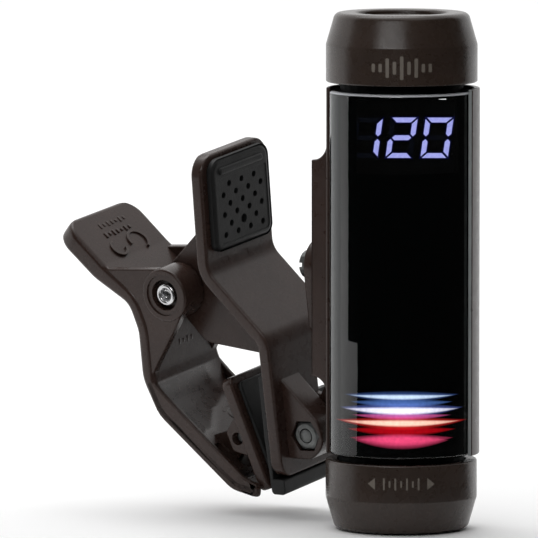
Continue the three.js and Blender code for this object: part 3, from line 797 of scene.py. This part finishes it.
def segment_outlines(grow=0.0):
    """The seven bars of a figure by letter, about its middle; grow makes them larger."""
    half, middle = DIGIT_WIDTH / 2, DIGIT_HEIGHT / 2
    thick, gap, bevel = SEGMENT, SEGMENT_GAP, SEGMENT / 2
    outer = half - gap
    inner = outer - thick
    flat = [(-outer, middle), (outer, middle), (inner, middle - thick), (-inner, middle - thick)]
    upright = [(half, middle - gap), (half - thick, middle - gap - thick), (half - thick, gap + bevel),
               (half - bevel, gap), (half, gap + bevel)]
    cross = [(bevel - outer, 0), (-inner, bevel), (inner, bevel),
             (outer - bevel, 0), (inner, -bevel), (-inner, -bevel)]
    turns = {"a": (flat, 1, 1), "d": (flat, 1, -1), "b": (upright, 1, 1), "c": (upright, 1, -1),
             "f": (upright, -1, 1), "e": (upright, -1, -1), "g": (cross, 1, 1)}
    shapes = {}
    for letter, (points, flip_x, flip_y) in turns.items():
        outline = [Vector((x * flip_x, y * flip_y)) for x, y in points]
        shapes[letter] = inset(anticlockwise(outline), -grow) if grow else outline
    return shapes


def figures(grow, depth, lit=True):
    """The lit or the unlit bars of the three figures, standing out of the display panel by a depth."""
    shapes = segment_outlines(grow)
    bars = []
    for place, letters in enumerate(LIT):
        foot = Vector(((place - 1) * DIGIT_PITCH, DIGIT_FOOT + DIGIT_HEIGHT / 2))
        for letter in shapes:
            if (letter in letters) == lit:
                slanted = [foot + Vector((p.x + p.y * DIGIT_SLANT, p.y)) for p in shapes[letter]]
                bars.append(prism(slanted, -0.1, depth, 0))
    turn = Matrix(((1, 0, 0, 0), (0, 0, -1, PANEL_FRONT), (0, 1, 0, 0), (0, 0, 0, 1)))
    return placed(gathered(bars), turn)


def panel_mesh():
    half, low, high = 7.35, 8.2, 24.4
    return prism(rectangle((-half, PANEL_FRONT), (half, BLOCK_BACK), 0.2), low, high, 0.15)


def build_display_body():
    body, brown = "display_body", "brown_plastic"
    shell = piece("rear_housing_shell", housing_mesh(), BODY, CASE_BROWN, body, ["rear_housing"])
    paint_lip_highlight(shell)
    piece("battery_door_leaf", door_mesh(), BODY, CASE_BROWN, "door", ["battery_door"])
    window = piece("display_window_shell", window_mesh(), BODY, WINDOW, body, ["display_window"])
    blacken_window(window)
    piece("figure_panel", panel_mesh(), BODY, INNER_BLACK, body, ["digit_display"])
    piece("figure_halo", figures(0.14, 0.02), BODY, HALO, body)
    piece("figure_bars", figures(0, 0.06), BODY, FIGURE, body)
    piece("unlit_bars", figures(0, 0.04, False), BODY, UNLIT, body)
    baffle = display_block(-13.7, 7.7)
    piece("baffle_block", baffle, BODY, INNER_BLACK, body, ["front_baffle"])
    lines = display_block(-24.7, -14)
    piece("light_line_block", lines, BODY, LIGHTS, body, ["light_bar_display"])
    for end, side, ring_body in (("top", 1, "upper_ring"), ("bottom", -1, "lower_ring")):
        ring = ring_mesh(side)
        piece(f"{end}_turning_ring", ring, BODY, RING_BROWN, ring_body, [f"{end}_ring"])
        piece(f"{end}_end_plug", plug_mesh(side), BODY, RING_BROWN, body, [f"{end}_plug"])
        spring = wire(helix((3.4, 3.4), (28.95 * side, 32.05 * side), 4), 0.3)
        piece(f"{end}_ring_spring", spring, BODY, STEEL, body, [f"{end}_return_spring"])
    piece("top_ring_marks", top_marks(), BODY, PRINT, "upper_ring")
    piece("bottom_ring_marks", bottom_marks(), BODY, PRINT, "lower_ring")
    low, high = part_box("contact_spring")
    middle = BODY.inverted() @ ((low + high) / 2)
    foot = BODY.inverted() @ low
    top = BODY.inverted() @ high
    contact = moved(wire(helix((2.5, 1.75), (foot.z + 0.35, top.z - 0.35), 3.5), 0.3), middle.xy)
    piece("cell_contact_spring", contact, BODY, STEEL, body, ["contact_spring"])


# ---- swing arm
ARM_FRONT = 12.55
ARM_BACK = 14.45


def arm_mesh():
    half, neck, lug = 4, 1.2, 2.9
    face = rounded([
        (half, half, half - 0.05), (-half, half, half - 0.05), (-half, -8.5, 1.5), (-neck, -12.5, 1.5),
        (-neck, -20), (neck, -20), (neck, -12.5, 1.5), (half, -8.5, 1.5),
    ], 10)
    plate = slab(face, ARM_FRONT, ARM_BACK, 0.35)
    side = rounded([
        (ARM_FRONT, -12), (ARM_BACK, -12), (ARM_BACK, -17, 3), (HINGE.x + lug - 0.5, HINGE.y + 1.5),
        (HINGE.x, HINGE.y - 1), (HINGE.x - lug, HINGE.y),
    ])
    tongue = prism(side, -neck, neck, 0.2)
    boss = rod(HINGE, lug, -neck, neck, 0.2)
    swivel_hole = slab(circle((0, 0), 1.15, 32), ARM_FRONT - 1, ARM_BACK + 1, 0)
    bolt_hole = rod(HINGE, 1.1, -neck - 1, neck + 1, 0, 32)
    return joined(plate, [tongue, boss], [swivel_hole, bolt_hole])


# ---- fixed lever
def fixed_lever_mesh():
    sheet = strip([(19.7, PLATE_BOTTOM), (19.86, -9.85, 3), (29.35, -0.3, 4), (28.68, LEVER_TOP)],
                  ((0, 2), (1, 1.9)), CLIP_HALF, (2.6, 3))
    web = rounded([
        (29.5, 8), (PIVOT.x + 2.7, PIVOT.y + 2.8), (PIVOT.x + 0.9, PIVOT.y - 3.75), (PIVOT.x - 3, -11.8, 3),
        (20, -13.3), (20, -10), (27.5, -3),
    ])
    parts = []
    for low, high in ((-3.1, -1.6), (1.6, 3.1)):
        parts += [prism(web, low, high, 0.2), rod(PIVOT, 3.9, low, high, 0.2)]
    front = 19.2
    ear_end = [(HINGE.x - 3.3, HINGE.y - 1.4, 3), (HINGE.x - 0.6, HINGE.y - 3.5, 2), (front, -27.3)]
    near_ear = [(front, -15.3), (HINGE.x - 2.5, HINGE.y + 2.2, 2), *ear_end]
    far_ear = [(front, -19.3), (HINGE.x - 1.6, HINGE.y + 2.95, 2), *ear_end]
    parts += [prism(rounded(near_ear), -5.9, -1.5, 0.3), prism(rounded(far_ear), 1.5, 4.7, 0.3)]
    notch = [(2.6, -14.2, 0.4), (2.6, -19.6, 0.4), (4.9, -21.6, 0.4), (9, -21.6), (9, -14.2)]
    cuts = [
        slab(rounded(notch), 16, 22, 0),
        prism(hexagon(2.5), -6.1, -4, 0),
        rod(HINGE, 1.1, -8, 8, 0, 32),
        rod(PIVOT, 1.4, -8, 8, 0, 32),
    ]
    return joined(sheet, parts, cuts)


def hexagon(radius):
    """The nut's outline about the hinge bolt."""
    turn = math.radians(28)
    return [HINGE + polar(radius, turn + math.pi / 2 + math.tau * k / 6) for k in range(6)]


GRIP_FOOT = Vector((28.45, 0.2, 0))
GRIP_LEAN = Matrix.Rotation(math.atan2(GRIP_FOOT.x - 27.75, LEVER_TOP - GRIP_FOOT.y), 4, "Z")
GRIP_PLACE = Matrix.Translation(GRIP_FOOT) @ GRIP_LEAN @ Matrix.Translation((0, -GRIP_FOOT.y, 0))


def grip_pad_mesh():
    """The rubber pad on the front handle: a rounded cushion with a ridge and staggered holes."""
    face, proud, pitch = -1.1, 0.32, 2.95
    pad = slab(rectangle((-6.9, 2.5), (6.9, 16), 1.6, 2), face, -0.1, 0.85, 6)
    recess = slab(rectangle((-5.7, 3.5), (6.1, 13.1), 0.8, 0.5), face - 1, face + 0.1, 0.08)
    ridge = slab(rectangle((-5.2, 13.6), (5.2, 14.7), 0.5), face - proud, face + 0.5, 0.4, 5)
    holes = []
    for row in range(6):
        count = 3 if row % 2 == 0 else 4
        for k in range(count):
            centre = ((k - (count - 1) / 2) * pitch + 0.2, 12 - 1.46 * row)
            radius = 0.66 if (row, k) == (4, 1) else 0.46
            holes.append(slab(circle(centre, radius, 20), face - 1, face + 0.75, 0))
    return placed(joined(joined(pad, [], [recess, *holes]), [ridge]), GRIP_PLACE)


def jaw_pad_mesh():
    back, face, lip, bottom = 20.8, 21.7, 18.9, -32.4
    side = rounded([
        (back, -14.6, 0.2), (face, -15.2, 0.3), (face, -24.2), (face - 0.4, bottom, 0.6), (lip, bottom, 0.6),
        (lip, PLATE_BOTTOM - 0.2, 0.3), (back, PLATE_BOTTOM - 0.2),
    ])
    behind_lever_notch = prism([(20, -13), (20, -20), (22.5, -20), (22.5, -13)], 3, 9, 0)
    return joined(prism(side, -7.5, 7.5, 0.18), cuts=[behind_lever_notch])


def nut_mesh():
    nut = prism(hexagon(2.25), -5.75, -4.25, 0.22)
    chamfer = moved(turned([(1.7, -5.76), (2.5, -5.35), (2.5, -5.9), (1.7, -5.9)], 64), HINGE)
    return joined(nut, cuts=[chamfer, rod(HINGE, 1.1, -7, -3, 0, 32)])


def bolt_mesh():
    """The bolt: a shallow thread at the nut's end, a slotted head at the other."""
    profile = [(0, -5.9), (0.6, -5.9)]
    for k in range(4):
        profile += [(0.95, -5.8 + 0.4 * k), (0.8, -5.6 + 0.4 * k)]
    profile += [(0.95, -4.1), (0.95, 4.95), (1.75, 4.95), (1.9, 5.1), (1.9, 5.7), (1.4, 6.1), (0, 6.1)]
    slot = prism([(-3, -0.3), (3, -0.3), (3, 0.3), (-3, 0.3)], 5.5, 7, 0)
    return moved(joined(turned(profile, 48), cuts=[slot]), HINGE)


def eyelet_mesh():
    """Rivet with a hollow in each end and a rolled rim round it."""
    inner, outer, end, rim = 0.85, 1.25, 7.65, 0.36
    profile = []
    for k in range(9):
        angle = math.pi * (1 - k / 8)
        profile.append((inner + rim + rim * math.cos(angle) + 0.05, end - rim + rim * math.sin(angle)))
    profile.append((outer, end - rim - 0.02))
    profile += [(r, -z) for r, z in reversed(profile)]
    floor = [(0, end - 1.5), (inner - 0.25, end - 1.3), (inner + 0.2, end - 0.9)]
    floor += [(r, -z) for r, z in reversed(floor)]
    return moved(gathered([turned(profile, 64), turned(floor, 48)]), PIVOT)


def torsion_spring_mesh():
    """Wound wire about the pivot, with a leg on each lever."""
    radius, low, high, turns = 1.95, -0.94, 0.94, 2.6
    coil = helix((radius, radius), (low, high), turns, math.radians(215))
    coil = [(PIVOT.x + x, PIVOT.y + y, z) for x, y, z in coil]
    first_leg = [(42.85, -2.35, low), (40.2, -1.9, low)]
    last_leg = [(33.9, 1.2, high), (31.05, 5.95, high)]
    return wire([*first_leg, *coil, *last_leg], 0.34)


# ---- moving lever
def moving_lever_mesh():
    sheet = strip(
        [(54.7, 4.9), (48.4, -1, 7), (42.7, -4.9, 5), (41.3, -9.3, 6), (41.4, -16.4, 5), (39.4, -21.2, 5),
         (27.25, -31.25, 3), (23.45, -32.1)],
        ((0, 3), (0.14, 3), (0.3, 2.1), (1, 2.1)), CLIP_HALF, (3, 0.5), 0.7)
    wall = rounded([
        (47, -0.6), (PIVOT.x + 1, -0.1), (PIVOT.x, PIVOT.y), (PIVOT.x - 3.2, PIVOT.y - 1.9), (35.4, -8.6, 6),
        (39.7, -14.6, 20), (41.3, -17.3), (42, -16), (41.6, -8), (44, -4.4),
    ])
    rim = rounded([
        (41.6, -17.2), (40.2, -21.6, 5), (28.2, -32, 4), (23.3, -33.1, 0.9), (23.65, -31.1, 0.2),
        (25.9, -30.1, 1), (38.5, -18.9, 0.5), (40.8, -16.6),
    ])
    lug = rounded([
        (SHOE_PIN.x - 1.1, SHOE_PIN.y + 1.1), (SHOE_PIN.x + 1.3, SHOE_PIN.y + 1), (33.2, -25.2),
        (29.4, -28.6), (SHOE_PIN.x - 0.9, SHOE_PIN.y - 1.2),
    ])
    slot = [(30.5, -25), (32.6, -26.6), (28.6, -29.9), (26.8, -28.4)]
    handle = (46.2, -0.7), (53.4, 5.6)
    knee = (40.5, -16.2), (40.25, -9.7)
    jaw = (27.4, -29.6), (38.6, -20.7)
    parts = [
        *raised_marks(*handle, bar_rows(((0.6, 7.3), (0.2, 5.6)))),
        *raised_marks(*handle, open_rings(((-2.4, 2.9, 1.5, 100), (2.2, 3.0, 1.9, -60)))),
        *raised_marks(*knee, bar_rows(((0.5, 3.6),), 0.95, 4)),
        *raised_marks(*jaw, open_rings(((2.6, 9.2, 1.8, -100), (2.6, 9.2, 1.1, 60)))),
        *pair(wall, 6.3, 7.75, 0.25),
        *pair(rim, 7.2, 8, 0.25),
        *pair(circle(PIVOT, 3.9, 64), 3.4, 8, 0.35),
        *pair(lug, 3, 4.6, 0.2),
        *pair(circle(SHOE_PIN, 1.6), 3, 4.6, 0.2),
    ]
    shoe_room = [(20, -29.6), (24.6, -29.6), (27.2, -31.2), (27, -34), (20, -34)]
    cuts = [
        *pair(circle(PIVOT, 2.25), 6.3, 9, 0),
        *pair(circle(PIVOT, 3, 64), 7.75, 9, 0),
        *pair(slot, 4.9, 6.7, 0),
        rod(PIVOT, 1.4, -9, 9, 0, 32),
        rod(SHOE_PIN, 0.85, -9, 9, 0, 24),
        prism(shoe_room, -SHOE_HALF - 0.3, SHOE_HALF + 0.3, 0),
    ]
    return joined(sheet, parts, cuts)


RAISED = 0.13


def raised_marks(foot, end, outlines):
    """Low raised marks on a flat face of the clip: foot and end are two points of the face's side line,
    the outlines are (across, along from the foot)."""
    foot, end = Vector(foot), Vector(end)
    along = (end - foot).normalized()
    turn = Matrix.Rotation(math.atan2(along.y, along.x) - math.pi / 2, 4, "Z")
    place = Matrix.Translation((*foot, 0)) @ turn
    return [placed(slab(points, -RAISED, 0.5, 0.08, 2), place) for points in outlines]


def bar_rows(rows, pitch=0.92, count=7):
    """Rows of short bars of uneven height, each row given by its (across, along) middle."""
    heights = (0.95, 0.6, 0.95, 0.75, 0.5, 0.95, 0.6)
    outlines = []
    for across, along in rows:
        for k in range(count):
            middle = across + (k - (count - 1) / 2) * pitch
            outlines.append(bar(middle, 0.42, along - heights[k] / 2, along + heights[k] / 2))
    return outlines


def open_rings(rings):
    """Rings with a gap at one side, each (across, along, radius, start in degrees)."""
    outlines = []
    for across, along, radius, start in rings:
        curve = arc(radius, start, start + 250, 12) + arc(radius - 0.38, start + 250, start, 12)
        outlines.append([point + Vector((across, along)) for point in curve])
    return outlines


# ---- jaw shoe
SHOE = Matrix.Translation((*SHOE_PIN, 0)) @ Matrix.Rotation(-SHOE_LEAN, 4, "Z")


def shoe_mesh():
    face = rectangle((-SHOE_HALF, SHOE_BOTTOM), (SHOE_HALF, SHOE_TOP), 1)
    plate = slab(face, SHOE_FRONT, SHOE_BACK, 0.4)
    ear = rounded([(SHOE_BACK - 0.3, 3.2), (1.6, 1.5, 0.8), (1.6, -1.5, 0.8), (SHOE_BACK - 0.3, -3)])
    cuts = [rod((0, 0), 0.95, -9, 9, 0, 24), *pair(circle((0, 0), 1.9, 32), 2.7, 4.9, 0)]
    return placed(joined(plate, pair(ear, 5, 6.6, 0.2), cuts), SHOE)


def shoe_pad_mesh():
    half = 5.9
    face = rectangle((-half, SHOE_BOTTOM + 2), (half, SHOE_TOP - 1), 0.8)
    return placed(slab(face, SHOE_FRONT - 0.8, SHOE_FRONT - 0.1, 0.3), SHOE)


def build_clip():
    brown, rubber = (CLIP_BROWN, "brown_plastic"), (RUBBER, "rubber")
    black, bright = (BLACK_STEEL, "black_steel"), (STEEL, "steel")
    front, rear = "clip_front", "clip_rear"
    for name, mesh, (material, slot), body, node in (
        ("swing_arm_moulding", arm_mesh(), brown, "arm", "swing_arm"),
        ("fixed_lever_moulding", fixed_lever_mesh(), brown, front, "fixed_lever"),
        ("grip_cushion", grip_pad_mesh(), rubber, front, "grip_pad"),
        ("jaw_cushion", jaw_pad_mesh(), rubber, front, "fixed_jaw_pad"),
        ("hex_nut", nut_mesh(), black, front, "hinge_nut"),
        ("slotted_bolt", bolt_mesh(), black, front, "hinge_bolt"),
        ("rolled_eyelet", eyelet_mesh(), bright, front, "pivot_eyelet"),
        ("wound_spring", torsion_spring_mesh(), bright, front, "torsion_spring"),
        ("moving_lever_moulding", moving_lever_mesh(), brown, rear, "moving_lever"),
        ("shoe_axle", rod(SHOE_PIN, 0.8, -5.6, 5.6), black, rear, "shoe_pin"),
        ("jaw_shoe_moulding", shoe_mesh(), brown, "shoe", "jaw_shoe"),
        ("shoe_cushion", shoe_pad_mesh(), rubber, "shoe", "shoe_pad"),
    ):
        piece(name, mesh, CLIP, material, body, [node], 25 if name == "hex_nut" else 40)


CARRIED_OVER = {
    "chassis": INNER_BLACK, "circuit_board": BOARD, "battery_cell": JACKET, "contact_plate": STEEL,
    "piezo_disc": BRASS, "top_switch": INNER_BLACK, "bottom_switch": INNER_BLACK,
    "swivel_screw": BLACK_STEEL, "swivel_washer": BLACK_STEEL,
}


def finish_carried_over():
    for node, material in CARRIED_OVER.items():
        mesh = frame["nodes"][node].data
        mesh.materials.clear()
        mesh.materials.append(material)


# ---- studio
FLOOR_RADIUS = 1.5
CARD_RADIUS = 0.17
CARD_HEIGHT = 0.26
CARD_SPAN = (-91, 117)
CARD_LOW_SPAN = (-72, 117)  # the card's lower part leaves room for the floor's reflection on the left
CARD_LOW = 0.011
CARD_INNER_RADIUS = 0.03


def away(azimuth, elevation=0.0):
    """Unit vector away from the tube, angles in radians; azimuth 0 is in front, positive to the right."""
    level = math.cos(elevation)
    return Vector((math.sin(azimuth) * level, -math.cos(azimuth) * level, math.sin(elevation)))


def studio_material(name, colour, roughness):
    material, tree, shader, place = new_material(name)
    paler = [min(1, c * 1.01) for c in colour]
    clouds = noise(tree, place, 60, 2)
    tree.links.new(blend_colours(tree, clouds, colour, paler), shader.inputs["Base Color"])
    shader.inputs["Roughness"].default_value = roughness
    return material


def build_studio():
    """Pale floor, white surroundings, a soft light above the front and a dark card before the window."""
    floor_height = CAD_BOX[0].z - 0.0002
    disc = mesh_from([(*p, floor_height) for p in circle(CENTRE.xy, FLOOR_RADIUS, 96)], [tuple(range(96))])
    floor = shape_object("floor", disc)
    disc.materials.append(studio_material("pale_floor", (0.93, 0.93, 0.93), 0.7))
    black = studio_material("dark_card", (0.004, 0.004, 0.004), 0.9)
    upright_rows = ((CARD_RADIUS, CARD_LOW), (CARD_RADIUS, CARD_HEIGHT))
    upright = shape_object("dark_card", card_mesh(CARD_SPAN, upright_rows))
    lying_rows = ((CARD_INNER_RADIUS, 0.0005), (CARD_RADIUS, 0.0005), (CARD_RADIUS, CARD_LOW))
    lying = shape_object("lying_card", card_mesh(CARD_LOW_SPAN, lying_rows))
    strip_card = shape_object("white_strip", white_strip_mesh())
    for card, material in ((upright, black), (lying, black), (strip_card, strip_material())):
        card.data.materials.append(material)
        card.visible_camera = False
        card.visible_shadow = False
    for card in (lying, strip_card):
        card.visible_diffuse = False

    world = bpy.data.worlds.new("studio")
    world.use_nodes = True
    world.node_tree.nodes["Background"].inputs["Color"].default_value = (1, 1, 1, 1)
    world.node_tree.nodes["Background"].inputs["Strength"].default_value = 1.0
    world.cycles.sampling_method = "NONE"
    bpy.context.scene.world = world
    soft_light("key", -17, 31, 0.16, (0.1, 0.034), 0.055)
    soft_light("fill", -80, 15, 0.5, (0.3, 0.3), 0.15)
    soft_light("top", -150, 72, 1, (0.7, 0.7), 4.5)


def card_mesh(span, rows):
    """A sheet round the front of the object, through rows of (radius, height above the floor)."""
    count = (span[1] - span[0]) // 4 + 1
    vertices = []
    faces = []
    for row, (radius, rise) in enumerate(rows):
        for k in range(count):
            angle = math.radians(span[0] + (span[1] - span[0]) * k / (count - 1))
            flat = CENTRE.xy + away(angle).xy * radius
            vertices.append((*flat, CAD_BOX[0].z + rise))
            if row and k:
                i = len(vertices) - 1
                faces.append((i - 1, i, i - count, i - count - 1))
    mesh = bpy.data.meshes.new("card")
    mesh.from_pydata(vertices, [], faces)
    return mesh


def white_strip_mesh():
    """A narrow reflector close to the tube's left side, where only the window's edge reflects it."""
    aside, near, far, half = -11.35, -4.6, -0.4, 26
    corners = [(aside, near, -half), (aside, far, -half), (aside, far, half), (aside, near, half)]
    return placed(mesh_from(corners, [(0, 1, 2, 3)]), BODY)


def strip_material():
    material, tree, shader, place = new_material("white_strip")
    clouds = spread(tree, noise(tree, place, 40, 2), 0, 1)
    white = blend_colours(tree, clouds, (0.9, 0.92, 0.92), (0.94, 0.95, 0.95))
    tree.links.new(white, shader.inputs["Emission Color"])
    shader.inputs["Emission Strength"].default_value = 1
    shader.inputs["Base Color"].default_value = (0, 0, 0, 1)
    shader.inputs["Specular IOR Level"].default_value = 0
    return material


def soft_light(name, azimuth, elevation, distance, size, power):
    """A soft box aimed at the middle of the tube; azimuth 0 is in front, negative to the left."""
    light = bpy.data.lights.new(name, "AREA")
    light.shape = "RECTANGLE"
    light.size, light.size_y = size
    light.energy = power
    obj = bpy.data.objects.new(name, light)
    obj.visible_camera = False
    back = away(math.radians(azimuth), math.radians(elevation))
    obj.location = CENTRE + back * distance
    obj.rotation_mode = "QUATERNION"
    obj.rotation_quaternion = back.to_track_quat("Z", "Y")
    bpy.context.scene.collection.objects.link(obj)


# ---- camera
CAMERA_DISTANCE = 1.3
CAMERA_RISE = math.radians(5.2)
CAMERA_LENS = 615.9
TUBE_ASIDE = 0.014449  # radians; the tube stands this far right of the picture's middle
TUBE_LOW = 0.000109  # and its middle this far below the picture's


def build_camera():
    camera = bpy.data.objects.new("camera", bpy.data.cameras.new("camera"))
    camera.data.lens = CAMERA_LENS
    camera.data.clip_start, camera.data.clip_end = 0.05, 20
    camera.location = CENTRE + away(0, CAMERA_RISE) * CAMERA_DISTANCE
    forward = -away(TUBE_ASIDE, CAMERA_RISE - TUBE_LOW)
    camera.rotation_mode = "QUATERNION"
    camera.rotation_quaternion = forward.to_track_quat("-Z", "Y")
    bpy.context.scene.collection.objects.link(camera)
    bpy.context.scene.camera = camera


build_camera()
build_studio()
build_display_body()
build_clip()
finish_carried_over()
bpy.context.scene.view_settings.view_transform = "Standard"
